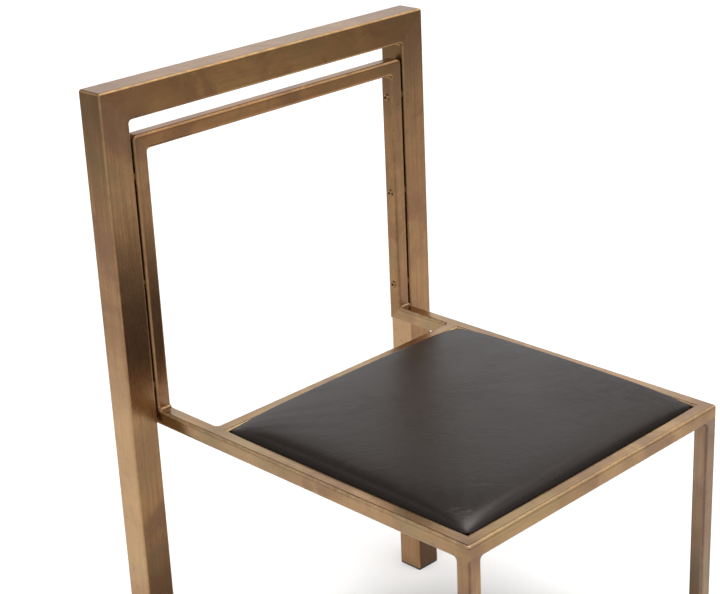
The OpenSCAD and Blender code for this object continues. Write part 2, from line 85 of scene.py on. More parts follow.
class Sock:
    # A node's socket that can stand in a sum: numbers and other sockets mix freely with it.
    def __init__(self, finish, plug):
        self.finish, self.plug = finish, plug

    def calc(self, operation, other=None, swapped=False):
        pair = (other, self) if swapped else (self, other)
        sockets = {i: v for i, v in enumerate(pair) if v is not None}
        return self.finish.node("ShaderNodeMath", {"operation": operation}, sockets)[0]

    def swing(self, amount):
        # a cloud's value, from 0 to 1, as a swing to both sides of nothing
        return (self - 0.5) * amount

    def __add__(self, other):
        return self.calc("ADD", other)

    def __sub__(self, other):
        return self.calc("SUBTRACT", other)

    def __rsub__(self, other):
        return self.calc("SUBTRACT", other, True)

    def __mul__(self, other):
        return self.calc("MULTIPLY", other)

    def __pow__(self, other):
        return self.calc("POWER", other)

    def __abs__(self):
        return self.calc("ABSOLUTE")

    __radd__ = __add__
    __rmul__ = __mul__


class Step:
    # One node that was made; [name or number] gives an output as a Sock.
    def __init__(self, finish, made):
        self.finish, self.made = finish, made

    def __getitem__(self, key):
        return Sock(self.finish, self.made.outputs[key])


class Finish:
    # The node tree of a material or of the world.
    def __init__(self, name, world=False):
        self.data = (bpy.data.worlds if world else bpy.data.materials).new(name)
        self.data.use_nodes = True
        self.tree = self.data.node_tree
        self.tree.nodes.clear()
        self.origin = None

    def node(self, kind, settings=None, sockets=None):
        made = self.tree.nodes.new(kind)
        for key, value in (settings or {}).items():
            setattr(made, key, value)
        for key, value in (sockets or {}).items():
            if isinstance(value, Sock):
                self.tree.links.new(value.plug, made.inputs[key])
            else:
                made.inputs[key].default_value = value
        return Step(self, made)

    def source(self, output):
        # "Object" is the row frame's own coordinates, "Normal" which way the surface faces
        if self.origin is None:
            self.origin = self.node("ShaderNodeTexCoord")
        return self.origin[output]

    def place(self, stretch=(1, 1, 1), shift=(0, 0, 0)):
        # those coordinates, stretched along the axes
        sockets = {"Vector": self.source("Object"), "Scale": stretch, "Location": shift}
        return self.node("ShaderNodeMapping", {"vector_type": "POINT"}, sockets)["Vector"]

    def split(self, vector):
        return self.node("ShaderNodeSeparateXYZ", None, {0: vector})

    def cloud(self, vector, scale, detail, rough, twist=0.0):
        sockets = {
            "Vector": vector, "Scale": scale, "Detail": detail, "Roughness": rough,
            "Distortion": twist}
        return self.node("ShaderNodeTexNoise", None, sockets)[0]

    def pits(self, scale, scatter=1.0, feature="F1"):
        sockets = {"Vector": self.place(), "Scale": scale, "Randomness": scatter}
        return self.node("ShaderNodeTexVoronoi", {"feature": feature}, sockets)["Distance"]

    def rise(self, value, low, high, start=0.0, end=1.0):
        # goes smoothly from start to end while the value goes from low to high
        sockets = {
            "Value": value, "From Min": low, "From Max": high, "To Min": start, "To Max": end}
        smooth = {"interpolation_type": "SMOOTHSTEP"}
        return self.node("ShaderNodeMapRange", smooth, sockets)["Result"]

    def tint(self, share, first, second):
        sockets = {0: share, 6: first, 7: second}
        return self.node("ShaderNodeMix", {"data_type": "RGBA"}, sockets)[2]

    def bump(self, height, distance, strength=1.0, before=None):
        sockets = {"Height": height, "Distance": distance, "Strength": strength}
        if before is not None:
            sockets["Normal"] = before
        return self.node("ShaderNodeBump", None, sockets)["Normal"]

    def surface(self, **sockets):
        named = {key.replace("_", " "): value for key, value in sockets.items()}
        shader = self.node("ShaderNodeBsdfPrincipled", None, named)
        self.node("ShaderNodeOutputMaterial", None, {"Surface": shader["BSDF"]})
        return self.data


def rgb(red, green, blue):
    return (red, green, blue, 1.0)


studioSet = {
    # one soft light overhead, as two lamps: the sun for what scatters, the box for the gloss
    "sunFrom": (-0.10, -0.12, 0.98),
    "sunWidth": 34.0,              # degrees across
    "sunLevel": 3.40,
    "boxFrom": (0.15, -0.10, 0.98),
    "boxWidth": 46.0,
    "boxLevel": 2.90,
    "skyLevel": 0.25,              # for light that scatters off the object
    "skyColour": rgb(1.0, 0.93, 0.86),
    # the room that shows in the gloss, by the sine of the elevation
    "ceilingLevel": (0.16, 0.36),  # overhead, on the left and on the right
    "ceilingSpread": 0.55,         # how far to the right it goes on getting brighter
    "wallFade": (0.18, 0.46),      # where the wall gets brighter
    "wallLevel": (0.88, 1.30),
    "wallTop": (0.48, 0.63),       # where it turns into ceiling
    "wallRise": 0.08,              # how much higher that is on the right
    "wallSpread": 0.35,            # and how far to the right it goes on rising
    "horizon": (0.01, 0.12),       # where the dark foot of the wall ends
    "horizonLevel": 0.50,
    "floorSide": 40.0,
    "floorGrey": 0.80,
    "floorGlow": 0.16,             # lifts the paper to white for the camera only
    "glossLift": 0.68,             # the share of its grey that shows in the gloss
    "glossGlow": 0.32,             # fills its shadows there
    "poolEdge": (1.30, 4.20),      # metres, where the lit part of the floor ends in the gloss
    "poolFall": 0.75,
}


def addSky(s):
    sky = Finish("studioSky", world=True)
    ray = sky.node("ShaderNodeLightPath")
    seen = ray["Is Camera Ray"] + ray["Is Transmission Ray"]
    gloss = ray["Is Glossy Ray"]
    toward = sky.split(sky.source("Generated"))
    height = toward["Z"]
    rightward = toward["X"] - toward["Y"]
    lowered = height - sky.rise(rightward, 0.0, s["wallSpread"], 0.0, s["wallRise"])
    ceiling = sky.rise(lowered, *s["wallTop"])
    overhead = sky.rise(rightward, 0.0, s["ceilingSpread"], *s["ceilingLevel"])
    wall = sky.rise(height, *s["wallFade"], *s["wallLevel"]) * (1 - ceiling) + ceiling * overhead
    foot = sky.rise(height, *s["horizon"], s["horizonLevel"], 1.0)
    level = seen + gloss * wall * foot + (1 - seen - gloss) * s["skyLevel"]
    colour = sky.tint(seen + gloss, s["skyColour"], rgb(1, 1, 1))
    glow = sky.node("ShaderNodeBackground", None, {"Color": colour, "Strength": level})
    sky.node("ShaderNodeOutputWorld", None, {"Surface": glow["Background"]})
    sky.data.cycles.sampling_method = "NONE"
    scene.world = sky.data


def addLamps(s):
    for name in ("sun", "box"):
        data = bpy.data.lights.new(name + "Light", "SUN")
        data.energy = s[name + "Level"]
        data.angle = math.radians(s[name + "Width"])
        lamp = bpy.data.objects.new(name + "Light", data)
        lamp.rotation_mode = "QUATERNION"
        lamp.rotation_quaternion = Vector(s[name + "From"]).to_track_quat("Z", "Y")
        lamp.visible_glossy = name == "box"
        lamp.visible_diffuse = name == "sun"
        scene.collection.objects.link(lamp)


def addFloor(s):
    half = s["floorSide"] / 2
    mesh = bpy.data.meshes.new("studioFloor")
    corners = [(-half, -half, 0), (half, -half, 0), (half, half, 0), (-half, half, 0)]
    mesh.from_pydata(corners, [], [(0, 1, 2, 3)])
    floor = bpy.data.objects.new("studioFloor", mesh)
    scene.collection.objects.link(floor)

    paper = Finish("studioPaper")
    ray = paper.node("ShaderNodeLightPath")
    gloss = ray["Is Glossy Ray"]
    length = {"operation": "LENGTH"}
    away = paper.node("ShaderNodeVectorMath", length, {0: paper.place()})["Value"]
    keep = 1 - paper.rise(away, *s["poolEdge"], 0.0, s["poolFall"]) * gloss
    grey = keep * (1 + gloss * (s["glossLift"] - 1)) * s["floorGrey"]
    white = paper.node("ShaderNodeCombineColor", None, {0: grey, 1: grey, 2: grey})[0]
    matt = paper.node("ShaderNodeBsdfDiffuse", None, {"Color": white})
    glow = paper.node("ShaderNodeEmission", None, {
        "Color": rgb(1, 1, 1),
        "Strength": ray["Is Camera Ray"] * s["floorGlow"] + gloss * keep * s["glossGlow"]})
    lit = paper.node("ShaderNodeAddShader", None, {0: matt[0], 1: glow[0]})
    # from below, the paper can be looked through
    below = paper.node("ShaderNodeNewGeometry")["Backfacing"]
    clear = paper.node("ShaderNodeBsdfTransparent")
    both = paper.node("ShaderNodeMixShader", None, {0: below, 1: lit[0], 2: clear[0]})
    paper.node("ShaderNodeOutputMaterial", None, {"Surface": both[0]})
    mesh.materials.append(paper.data)


addSky(studioSet)
addLamps(studioSet)
addFloor(studioSet)
print("studio lit")


# In all finishes: a cloud is its scale, detail, roughness and distortion, a rise the values
# between which it takes effect and its shares before and after, a bump its depth and strength.
bronzeSet = {
    # shares of a tube's own colour
    "tints": {
        "dull": (0.68, 0.64, 0.68),
        "stain": (0.46, 0.44, 0.64),
        "tarnish": (0.58, 0.62, 0.52),
        "worn": (1.75, 2.05, 2.30),
        "olive": (0.80, 0.92, 0.95),
        "shadow": (0.27, 0.25, 0.30),
    },
    "patch": (9, 3, 0.55, 0.8),
    "patchShift": (7, 5, 1),
    "blotch": (15, 4, 0.6, 0.4),
    "fleck": (95, 5, 0.68),
    "fleckShift": (3, 1, 2),
    # brush marks, scaled along and across the tube
    "drawnScale": (5, 240),
    "drawn": (1, 4, 0.62),
    "hairScale": (26, 1300),
    "hair": (1, 3, 0.6),
    "oliveRise": (0.35, 0.50),
    "stainRise": (0.52, 0.66, 0.0, 0.60),
    "blotchRise": (0.38, 0.66, 0.0, 0.55),
    "drawnRise": (0.40, 0.72),
    "hairRise": (0.45, 0.75, 0.0, 0.40),
    "fleckRise": (0.54, 0.74, 0.0, 0.35),
    "edgeRise": (0.10, 0.85),
    "edgeFleck": (0.35, 0.62, 1.0, 0.45),
    "sideFace": (0.4, 0.8),
    "frontFace": (-0.9, -0.6, 1.0, 0.0),
    # heights on the posts: painted shade in front near the floor, for the shadowed floor those faces
    # mirror, and painted light on the sides above that
    "footRise": (0.08, 0.30),
    "paleFrom": (0.12, 0.25),
    "paleTo": (0.42, 0.58, 0.4, 0.0),
    # where welding and grinding darkened both sides of the chair: x, y, z, reach, share
    "weldHeat": (
        (0.250, 0.257, 0.830, 0.090, 0.65),
        (0.217, 0.247, 0.790, 0.045, 0.50),
        (0.217, 0.247, 0.435, 0.040, 0.45),
        (0.217, 0.139, 0.435, 0.035, 0.35),
        (0.217, -0.267, 0.425, 0.040, 0.30),
    ),
    "heatBlotch": 0.10,       # metres by which the clouds fray its outline
    "heatSpeck": 0.05,
    "heatFleck": (0.35, 0.60, 0.55, 1.0),
    "gloss": 0.22,
    "glossEdge": 0.34,
    "glossBlotch": 0.10,
    "glossDrawn": 0.10,
    "glossHair": 0.08,
    "glossHeat": 0.06,
    "drawnDeep": 0.5,         # next to the hair's
    "brushBump": (0.00004, 0.4),
    "fleckBump": (0.00022, 0.3),
}
# per tube: the axis it runs along, its colour, how bare its edges are (wear with a painted highlight)
# and how strong its streaks; some have a gloss of their own, edges with a painted dark line in another
# tint, or a foot in painted shade
tubeSet = {
    "backRail": {"along": 0, "base": (0.400, 0.222, 0.092), "bare": 0.65, "streak": 0.35},
    "backPost": {
        "along": 2, "base": (0.412, 0.238, 0.114), "bare": 0.35, "streak": 0.85,
        "gloss": 0.27, "foot": 1.0},
    "innerRail": {"along": 0, "base": (0.400, 0.215, 0.092), "bare": 0.45, "streak": 0.35},
    "innerPost": {
        "along": 2, "base": (0.384, 0.220, 0.105), "bare": 0.35, "streak": 0.60, "gloss": 0.28},
    "seatRailX": {"along": 0, "base": (0.425, 0.268, 0.132), "bare": 0.25, "streak": 0.35},
    "seatRailY": {"along": 1, "base": (0.422, 0.267, 0.141), "bare": 0.45, "streak": 0.35},
    # the legs' edges take the stain tint: a painted dark line along the rounding
    "leg": {
        "along": 2, "base": (0.395, 0.248, 0.132), "bare": 0.55, "streak": 0.70, "edge": "stain"},
    # the right front leg: the legs' bronze painted darker and greyer, as shade for the shadowed floor
    # it mirrors
    "legRight": {
        "along": 2, "base": (0.350, 0.234, 0.146), "bare": 0.55, "streak": 0.80, "edge": "stain"},
}


def bronze(name, s, tube):
    m = Finish(name)
    along = tube["along"]
    across = [i for i in range(3) if i != along]

    def pull(lengthwise, crosswise):
        return tuple(lengthwise if i == along else crosswise for i in range(3))

    patch = m.cloud(m.place(shift=s["patchShift"]), *s["patch"])
    blotch = m.cloud(m.place(), *s["blotch"])
    fleck = m.cloud(m.place(shift=s["fleckShift"]), *s["fleck"])
    drawn = m.cloud(m.place(pull(*s["drawnScale"])), *s["drawn"])
    hair = m.cloud(m.place(pull(*s["hairScale"])), *s["hair"])
    spot = m.split(m.source("Object"))
    normal = m.split(m.source("Normal"))
    one, two = normal[across[0]], normal[across[1]]
    edge = m.rise((one * one) * (two * two) * 4, *s["edgeRise"])
    sideways = m.rise(abs(normal["X"]), *s["sideFace"])

    base = rgb(*tube["base"])
    tints = {
        key: rgb(*(c * share for c, share in zip(tube["base"], shares)))
        for key, shares in s["tints"].items()}
    colour = m.tint(m.rise(patch, *s["oliveRise"]), tints["olive"], base)
    colour = m.tint(m.rise(patch, *s["stainRise"]), colour, tints["stain"])
    colour = m.tint(m.rise(blotch, *s["blotchRise"]), colour, tints["dull"])
    colour = m.tint(m.rise(drawn, *s["drawnRise"]) * tube["streak"], colour, tints["dull"])
    colour = m.tint(m.rise(hair, *s["hairRise"]), colour, tints["dull"])

    mirrored = {0: abs(spot["X"]), 1: spot["Y"], 2: spot["Z"]}
    folded = m.node("ShaderNodeCombineXYZ", None, mirrored)["Vector"]
    frayed = blotch.swing(s["heatBlotch"]) + fleck.swing(s["heatSpeck"])
    heat = 0.0
    for x, y, z, reach, share in s["weldHeat"]:
        ends = {0: folded, 1: (x, y, z)}
        far = m.node("ShaderNodeVectorMath", {"operation": "DISTANCE"}, ends)["Value"]
        heat = m.rise(far + frayed, 0.0, reach, share, 0.0) + heat
    if "foot" in tube:
        height = spot["Z"]
        # painted shade on the front faces near the floor
        foot = m.rise(height, *s["footRise"], tube["foot"], 0.0)
        colour = m.tint(foot * m.rise(normal["Y"], *s["frontFace"]), colour, tints["shadow"])
        # painted light on the sides of the posts, against the shadow under the chair that they mirror
        pale = m.rise(height, *s["paleFrom"]) * m.rise(height, *s["paleTo"])
        colour = m.tint(pale * sideways, colour, tints["worn"])
    burnt = m.tint(sideways, tints["stain"], tints["tarnish"])
    colour = m.tint(heat * m.rise(fleck, *s["heatFleck"]), colour, burnt)
    colour = m.tint(m.rise(fleck, *s["fleckRise"]), colour, tints["stain"])
    # on the edges: wear with a painted highlight, or on the legs a painted dark line
    edgeWearAndLight = edge * m.rise(fleck, *s["edgeFleck"]) * tube["bare"]
    colour = m.tint(edgeWearAndLight, colour, tints[tube.get("edge", "worn")])

    gloss = tube.get("gloss", s["gloss"]) + edge * s["glossEdge"] + heat * s["glossHeat"]
    gloss += blotch.swing(s["glossBlotch"]) + drawn.swing(s["glossDrawn"]) + hair.swing(s["glossHair"])
    brushed = m.bump(hair + drawn * s["drawnDeep"], *s["brushBump"])
    flecked = m.bump(fleck, *s["fleckBump"], brushed)
    return m.surface(Base_Color=colour, Metallic=1.0, Roughness=gloss, Normal=flecked)


bronzes = {}
for name, tube in tubeSet.items():
    bronzes[name] = bronze("bronze" + name[0].upper() + name[1:], bronzeSet, tube)
print("bronze mixed")


platedSet = {
    "spots": (900, 3, 0.6),
    "wide": (75, 2, 0.5),
    "wideRise": (0.35, 0.7, 0.0, 0.7),
    "dark": 0.62,             # share of the colour
    "glossSpots": 0.15,
    "deep": 0.00002,
}


def plated(name, s, colour, gloss):
    m = Finish(name)
    spots = m.cloud(m.place(), *s["spots"])
    wide = m.cloud(m.place(), *s["wide"])
    dark = rgb(*(c * s["dark"] for c in colour[:3]))
    return m.surface(
        Base_Color=m.tint(m.rise(wide, *s["wideRise"]), colour, dark), Metallic=1.0,
        Roughness=gloss + spots.swing(s["glossSpots"]), Normal=m.bump(spots, s["deep"]))


screwSet = {
    "first": 0.469,           # height of the lowest screw
    "pitch": 0.135,
    "deep": 0.2475,           # where the rows lie from front to back
    "socket": 0.0021,         # radius
    "socketSoft": 0.8,        # share of it that is fully dark
    "head": rgb(0.34, 0.20, 0.095),
    "recess": rgb(0.085, 0.030, 0.018),
    "recessShare": 0.85,
    "spots": (900, 3, 0.6),
    "gloss": 0.26,
    "glossSpots": 0.15,
    "spotsDeep": 0.00002,
}


def screwPlate(name, s):
    # bronze heads with painted shade, dark and reddish, inside their hexagon sockets
    m = Finish(name)
    spots = m.cloud(m.place(), *s["spots"])
    spot = m.split(m.source("Object"))
    turns = ((spot["Z"] - s["first"]) * (1 / s["pitch"]) + 0.5).calc("FRACT")
    rise = turns.swing(s["pitch"])
    aside = spot["Y"] - s["deep"]
    away = (rise * rise + aside * aside) ** 0.5
    # painted shade in each socket
    inside = m.rise(away, s["socket"] * s["socketSoft"], s["socket"], s["recessShare"], 0.0)
    return m.surface(
        Base_Color=m.tint(inside, s["head"], s["recess"]), Metallic=1.0,
        Roughness=s["gloss"] + spots.swing(s["glossSpots"]),
        Normal=m.bump(spots, s["spotsDeep"]))


glideSet = {
    "spark": (2600, 3, 0.6),
    "scuffScale": (1, 1, 4),
    "scuff": (220, 4, 0.7),
    "scuffRise": (0.55, 0.75),
    "black": rgb(0.012, 0.011, 0.011),
    "scuffed": rgb(0.06, 0.055, 0.05),
    "scuffShare": 0.6,
    "gloss": 0.5,
    "glossScuff": 0.2,
    "glossSpark": 0.1,
    "deep": 0.00008,
}


def moulded(name, s):
    # black glides: a fine spark-eroded grain with scuffs
    m = Finish(name)
    spark = m.cloud(m.place(), *s["spark"])
    scuff = m.rise(m.cloud(m.place(s["scuffScale"]), *s["scuff"]), *s["scuffRise"])
    return m.surface(
        Base_Color=m.tint(scuff * s["scuffShare"], s["black"], s["scuffed"]),
        Roughness=s["gloss"] + scuff * s["glossScuff"] + spark.swing(s["glossSpark"]),
        Normal=m.bump(spark, s["deep"]))


plySet = {
    "layers": 9,
    "layerTurn": (0.44, 0.56),
    "figureScale": (3, 60, 1),
    "figure": (4, 5, 0.6, 1.2),
    "figureRise": (0.35, 0.65, 0.0, 0.6),
    "poreScale": (12, 500, 500),
    "pores": (1, 3, 0.6),
    "poreRise": (0.6, 0.75, 0.0, 0.5),
    "faceUp": (0.3, 0.7),
    "pale": rgb(0.62, 0.43, 0.24),
    "brown": rgb(0.52, 0.34, 0.17),
    "dark": rgb(0.38, 0.22, 0.10),
    "gloss": 0.62,
    "glossPores": 0.2,
    "deep": 0.0001,
}


def plywood(name, s, low, high):
    # thin birch veneers on the edge, long figure on the faces
    m = Finish(name)
    figure = m.cloud(m.place(s["figureScale"]), *s["figure"])
    pores = m.cloud(m.place(s["poreScale"]), *s["pores"])
    height = m.split(m.source("Object"))["Z"]
    layer = ((height - low) * (s["layers"] / (high - low))).calc("FRACT")
    rim = m.tint(m.rise(layer, *s["layerTurn"]), s["pale"], s["dark"])
    face = m.tint(m.rise(figure, *s["figureRise"]), s["pale"], s["brown"])
    face = m.tint(m.rise(pores, *s["poreRise"]), face, s["dark"])
    up = abs(m.split(m.source("Normal"))["Z"])
    return m.surface(
        Base_Color=m.tint(m.rise(up, *s["faceUp"]), rim, face),
        Roughness=s["gloss"] + pores.swing(s["glossPores"]), Normal=m.bump(pores, s["deep"]))


bronzeScrew = screwPlate("bronzeScrewPlate", screwSet)
spacerDark = plated("bronzeSpacer", platedSet, rgb(0.16, 0.085, 0.040), 0.40)
zincPlate = plated("zincPlate", platedSet, rgb(0.58, 0.58, 0.56), 0.34)
stapleWire = plated("stapleWire", platedSet, rgb(0.62, 0.62, 0.62), 0.28)
blackGlide = moulded("blackGlide", glideSet)
boardLow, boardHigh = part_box("seat_board")
birch = plywood("birchPly", plySet, boardLow.z, boardHigh.z)

nodeFinish = {
    "back_top_rail": bronzes["backRail"], "inner_top_rail": bronzes["innerRail"],
    "seat_front_rail": bronzes["seatRailX"], "seat_rear_rail": bronzes["seatRailX"],
    "seat_side_rail_left": bronzes["seatRailY"], "seat_side_rail_right": bronzes["seatRailY"],
    "rear_leg_left": bronzes["backPost"], "rear_leg_right": bronzes["backPost"],
    "inner_upright_left": bronzes["innerPost"], "inner_upright_right": bronzes["innerPost"],
    "front_leg_left": bronzes["leg"], "front_leg_right": bronzes["legRight"],
    "frame_screws_left": bronzeScrew, "frame_screws_right": bronzeScrew,
    "frame_spacers_left": spacerDark, "frame_spacers_right": spacerDark,
    "rivet_nuts_left": zincPlate, "rivet_nuts_right": zincPlate,
    "t_nuts": zincPlate, "seat_screws": zincPlate, "seat_board": birch,
}
for name, node in nodes.items():
    if name.startswith("corner_tab"):
        nodeFinish[name] = bronzes["seatRailX"]
    if "_foot_" in name:
        nodeFinish[name] = blackGlide
    if name in nodeFinish:
        node.data.materials.clear()
        node.data.materials.append(nodeFinish[name])
print("CAD nodes finished:", len(nodeFinish))


leatherSet = {
    "wide": (11, 3, 0.55, 0.3),
    "mottle": (70, 4, 0.65),
    "fine": (1500, 2, 0.6),
    "fineDeep": 0.35,
    "grainCells": 620,
    "grainRise": (0.0, 0.35),
    # hairline creases, run slantwise
    "slantTurn": -42.0,       # degrees
    "slantScale": (8, 34, 8),
    "slant": (1, 5, 0.62, 1.2),
    "creaseWide": 0.030,
    "creaseRise": (0.38, 0.58),
    "brown": rgb(0.0108, 0.0082, 0.0072),
    "dark": rgb(0.0085, 0.0064, 0.0056),
    "darkRise": (0.35, 0.7, 0.0, 0.5),
    "pale": rgb(0.0150, 0.0128, 0.0120),
    "paleRise": (0.45, 0.75, 0.0, 0.3),
    # the strip along the sides that turns down into the gap, in painted shade and rougher
    "rimWide": 5.5 * mm,
    "rimDark": rgb(0.0030, 0.0022, 0.0018),
    "rimShare": 0.6,
    "frontRight": (0.16, 0.42),   # metres of X - Y: duller and more mottled from there on
    "gloss": 0.35,
    "glossRim": 0.40,
    "glossFront": 0.17,
    "glossWide": 0.06,
    "glossMottle": 0.08,
    "glossMottleFront": 0.30,
    "softWide": 0.3,
    "softMottle": 0.16,
    "softMottleFront": 0.34,
    "softBump": (0.0030, 0.45),
    "creaseBump": (0.00020, 0.40),
    "grainBump": (0.00005, 0.6),
    "shine": 0.36,
    "shineTint": rgb(1.0, 0.89, 0.85),
}


def leather(name, s):
    m = Finish(name)
    wide = m.cloud(m.place(), *s["wide"])
    mottle = m.cloud(m.place(), *s["mottle"])
    fine = m.cloud(m.place(), *s["fine"])
    grain = m.rise(m.pits(s["grainCells"], feature="DISTANCE_TO_EDGE"), *s["grainRise"])
    turned = {
        "Vector": m.source("Object"), "Rotation": (0, 0, math.radians(s["slantTurn"])),
        "Scale": tuple(1 / scale for scale in s["slantScale"])}
    slanted = m.node("ShaderNodeMapping", {"vector_type": "TEXTURE"}, turned)["Vector"]
    offLine = abs(m.cloud(slanted, *s["slant"]) - 0.5)
    crease = 1 - m.rise(offLine, 0.0, s["creaseWide"])

    spot = m.split(m.source("Object"))
    front = m.rise(spot["X"] - spot["Y"], *s["frontRight"])
    low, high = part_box("seat_cover")
    middle, half = (low + high) / 2, (high - low) / 2
    inX = half.x - abs(spot["X"] - middle.x)
    inY = half.y - abs(spot["Y"] - middle.y)
    rim = m.rise(inX.calc("MINIMUM", inY), 0.0, s["rimWide"], 1.0, 0.0)

    colour = m.tint(m.rise(wide, *s["darkRise"]), s["brown"], s["dark"])
    colour = m.tint(m.rise(mottle, *s["paleRise"]), colour, s["pale"])
    # painted shade on the strip that turns down into the gap
    colour = m.tint(rim * s["rimShare"], colour, s["rimDark"])
    gloss = s["gloss"] + rim * s["glossRim"] + front * s["glossFront"] + wide.swing(s["glossWide"])
    gloss += mottle.swing(s["glossMottle"] + front * s["glossMottleFront"])
    dents = wide * s["softWide"] + mottle * (s["softMottle"] + front * s["softMottleFront"])
    soft = m.bump(dents, *s["softBump"])
    lines = m.bump(1 - crease * m.rise(wide, *s["creaseRise"]), *s["creaseBump"], soft)
    hide = m.bump(grain + fine * s["fineDeep"], *s["grainBump"], lines)
    return m.surface(
        Base_Color=colour, Roughness=gloss, Normal=hide, Specular_IOR_Level=s["shine"],
        Specular_Tint=s["shineTint"])


clothSet = {
    "fibreScale": (1, 1, 0.2),
    "fibres": (900, 4, 0.7, 0.8),
    "fibreRise": (0.4, 0.7),
    "dots": 520,
    "dotScatter": 0.1,
    "dotRise": (0.25, 0.4),
    "dotDeep": 0.6,
    "black": rgb(0.012, 0.012, 0.013),
    "grey": rgb(0.030, 0.030, 0.032),
    "gloss": 0.82,
    "glossFibres": 0.2,
    "bump": (0.00015, 0.7),
}


def linerCloth(name, s):
    # thin black nonwoven with pressed dots
    m = Finish(name)
    fibres = m.cloud(m.place(s["fibreScale"]), *s["fibres"])
    pressed = m.rise(m.pits(s["dots"], s["dotScatter"]), *s["dotRise"])
    return m.surface(
        Base_Color=m.tint(m.rise(fibres, *s["fibreRise"]), s["black"], s["grey"]),
        Roughness=s["gloss"] + fibres.swing(s["glossFibres"]),
        Normal=m.bump(fibres + pressed * s["dotDeep"], *s["bump"]))


foamSet = {
    "pores": 900,
    "poreRise": (0.1, 0.6),
    "yellow": rgb(0.55, 0.50, 0.36),
    "cream": rgb(0.80, 0.76, 0.62),
    "gloss": 0.9,
    "glossPores": 0.1,
    "deep": 0.0003,
}


def openFoam(name, s):
    m = Finish(name)
    pores = m.pits(s["pores"])
    return m.surface(
        Base_Color=m.tint(m.rise(pores, *s["poreRise"]), s["yellow"], s["cream"]),
        Roughness=s["gloss"] - pores * s["glossPores"], Normal=m.bump(pores, s["deep"]))


charcoalLeather = leather("charcoalLeather", leatherSet)
linerFinish = linerCloth("linerCloth", clothSet)
foamFinish = openFoam("creamFoam", foamSet)


def addPiece(name, points, faces, finish, smooth=True):
    mesh = bpy.data.meshes.new(name)
    mesh.from_pydata([tuple(p) for p in points], [], faces)
    mesh.update()
    mesh.materials.append(finish)
    for face in mesh.polygons:
        face.use_smooth = smooth
    piece = bpy.data.objects.new(name, mesh)
    scene.collection.objects.link(piece)
    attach(piece, "root")
    return piece


def gridFaces(n, offset=0, flip=False):
    faces = []
    for j in range(n):
        for i in range(n):
            c = offset + j * (n + 1) + i
            face = (c, c + 1, c + n + 2, c + n + 1)
            faces.append(face[::-1] if flip else face)
    return faces


def rimCells(n):
    # grid indices round the rim of an (n + 1) x (n + 1) grid, counter-clockwise
    ring = [(i, 0) for i in range(n)] + [(n, j) for j in range(n)]
    return ring + [(i, n) for i in range(n, 0, -1)] + [(0, j) for j in range(n, 0, -1)]


def rimPoints(n):
    # the same rim as numbers of points
    return [j * (n + 1) + i for i, j in rimCells(n)]


def joinRings(upper, lower):
    after = upper[1:] + upper[:1]
    under = lower[1:] + lower[:1]
    return list(zip(upper, lower, under, after))


padSet = {
    "cells": 72,             # along each side
    "even": 0.35,            # 1 spaces them evenly, less crowds them towards the sides
    "half": (205.5 * mm, 192.0 * mm),
    "corner": 9.5 * mm,
    "leastCorner": 0.3 * mm,
    "blend": 28 * mm,        # how far in from a corner the grid bends with it
    "bulge": 1.5 * mm,       # the leather swells over the gap to the rails
    "swell": 434.0 * mm,     # height of its widest line
    "rollWide": 16 * mm,
    "roll": 9.1 * mm,
    "rollPower": 1 / 1.5,
    "crease": 0.5,           # 1 gives the roll a sharp mitre at the corners
    "cornerPower": 4,        # how full the roll is where it ends at a corner's rounding
    "shoulderWide": 15 * mm,
    "shoulder": 7.5 * mm,
    "sinkWide": 42 * mm,
    "sink": 9.5 * mm,        # at the corners
    "dome": 4.0 * mm,
    "leather": 1.2 * mm,
    "turnIn": 25 * mm,       # how far it reaches in under the board
    "flap": 1.15 * mm,       # thickness there
    "foamGap": 0.4 * mm,
    "foamLift": 0.1 * mm,
    "foamBevel": 0.8 * mm,
    # the crown as cloth
    "quality": 6,
    "mass": 0.5,
    "stiffness": {"tension": 12, "compression": 12, "shear": 6, "bending": 1.5},
    "pressure": 4.0,
    "frames": 20,
    "cap": 1.0 * mm,         # the most that it may move
    # the dents on top: scales, slice and depth of each kind
    "dents": ((14, 14, 3.1, 0.18 * mm), (34, 60, 9.7, 0.07 * mm)),
    "dentPower": 10,         # how close to the rim they fade out
    "pulls": 18,             # ridges round a corner
    "pullDeep": 0.05 * mm,
    "pullStart": 12 * mm,
    "pullReach": 34 * mm,
    "pullScale": 30,
    "pullWaver": 0.2,
}


def roundCorner(x, y, a, b, corner, reach):
    # the square rings of the grid get round corners, less so further in
    inX, inY = a - abs(x), b - abs(y)
    deep, side = min(inX, inY), reach - min(inX, inY)
    if max(inX, inY) >= reach or side < 1e-9:
        return x, y
    bend = corner * (side / reach) ** 2
    straight = side - bend
    way = (1 - (max(inX, inY) - deep) / side) * (straight + bend * math.pi / 4)
    if way <= straight:
        along, out = side - way, 0.0
    else:
        angle = (way - straight) / bend
        along, out = bend * (1 - math.sin(angle)), bend * (1 - math.cos(angle))
    if inX <= inY:
        inX, inY = deep + out, deep + along
    else:
        inX, inY = deep + along, deep + out
    return math.copysign(a - inX, x), math.copysign(b - inY, y)


def padPlace(s, i, j, offset):
    # where grid point (i, j) lies, from the pad's middle, with the outline moved out by the offset
    a, b = s["half"][0] + offset, s["half"][1] + offset
    u, v = 2 * i / s["cells"] - 1, 2 * j / s["cells"] - 1
    even = s["even"]
    x, y = (even * w + (1 - even) * math.sin(w * math.pi / 2) for w in (u, v))
    corner = max(s["leastCorner"], s["corner"] + offset)
    return roundCorner(x * a, y * b, a, b, corner, s["blend"])


